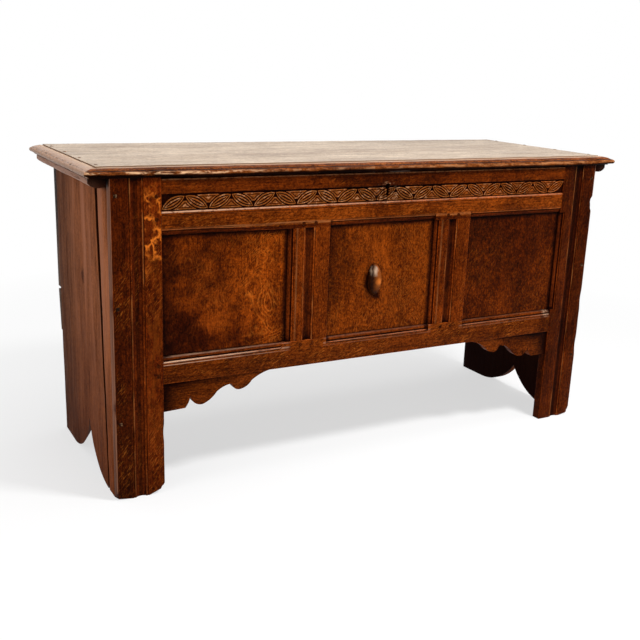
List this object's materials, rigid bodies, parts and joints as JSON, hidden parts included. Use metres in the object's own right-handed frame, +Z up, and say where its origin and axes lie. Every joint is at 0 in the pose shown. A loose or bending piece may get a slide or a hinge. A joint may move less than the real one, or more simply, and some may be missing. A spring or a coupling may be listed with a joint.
{
  "type": "coffer chest",
  "caption": "Long low oak coffer with a joined and panelled front, carved frieze, plank ends cut as feet and a hinged plank lid with a lock.",
  "frame": {"origin": "on the floor, under the middle of the overall box", "axes": "+X along the length to the viewer's right, +Y from front to back, +Z up"},
  "size_m": [1.374, 0.4944, 0.7074],
  "materials": {
    "oak_front": "waxed dark oak, medium sheen",
    "oak_end": "drier dark oak",
    "oak_lid": "worn waxed oak",
    "oak_rough": "unfinished sawn and riven oak",
    "oak_peg": "dark end grain",
    "boss_wood": "polished turned wood",
    "wrought_iron": "forged, dark and lightly rusted"
  },
  "bodies": {
    "chest": {"back_lower_board": "oak_rough", "back_nails": "wrought_iron", "back_upper_board": "oak_rough", "floor_front_board": "oak_rough", "floor_middle_board": "oak_rough", "floor_rear_board": "oak_rough", "frame_pegs": "oak_peg", "front_bottom_rail": "oak_front", "front_left_bracket": "oak_front", "front_left_muntin": "oak_front", "front_left_panel": "oak_front", "front_left_stile": "oak_front", "front_middle_panel": "oak_front", "front_right_bracket": "oak_front", "front_right_muntin": "oak_front", "front_right_panel": "oak_front", "front_right_stile": "oak_front", "front_top_rail": "oak_front", "hinge_back_nails": "wrought_iron", "left_end_narrow_board": "oak_end", "left_end_wide_board": "oak_end", "left_hinge_back_strap": "wrought_iron", "left_hinge_pin": "wrought_iron", "lock_bolt_guides": "wrought_iron", "lock_case": "wrought_iron", "lock_drill_pin": "wrought_iron", "lock_nails": "wrought_iron", "lock_plate": "wrought_iron", "oval_boss": "boss_wood", "right_end_narrow_board": "oak_end", "right_end_wide_board": "oak_end", "right_hinge_back_strap": "wrought_iron", "right_hinge_pin": "wrought_iron", "stile_nails": "wrought_iron"},
    "lid": {"lid_front_board": "oak_lid", "lid_rear_board": "oak_lid", "lid_left_cleat": "oak_lid", "lid_right_cleat": "oak_lid", "cleat_nails": "wrought_iron", "left_hinge_lid_strap": "wrought_iron", "right_hinge_lid_strap": "wrought_iron", "lid_catch_plate": "wrought_iron", "lid_iron_nails": "wrought_iron"},
    "lock_bolt": {"lock_bolt": "wrought_iron"}
  },
  "joints": [
    {"name": "lid_hinge", "type": "hinge", "parent": "chest", "child": "lid", "pos_m": [0, 0.2412, 0.6776], "axis": [-1, 0, 0], "range_deg": [0, 100]},
    {"name": "bolt_slide", "type": "slide", "parent": "chest", "child": "lock_bolt", "axis": [1, 0, 0], "range_m": [0, 0.018]}
  ]
}
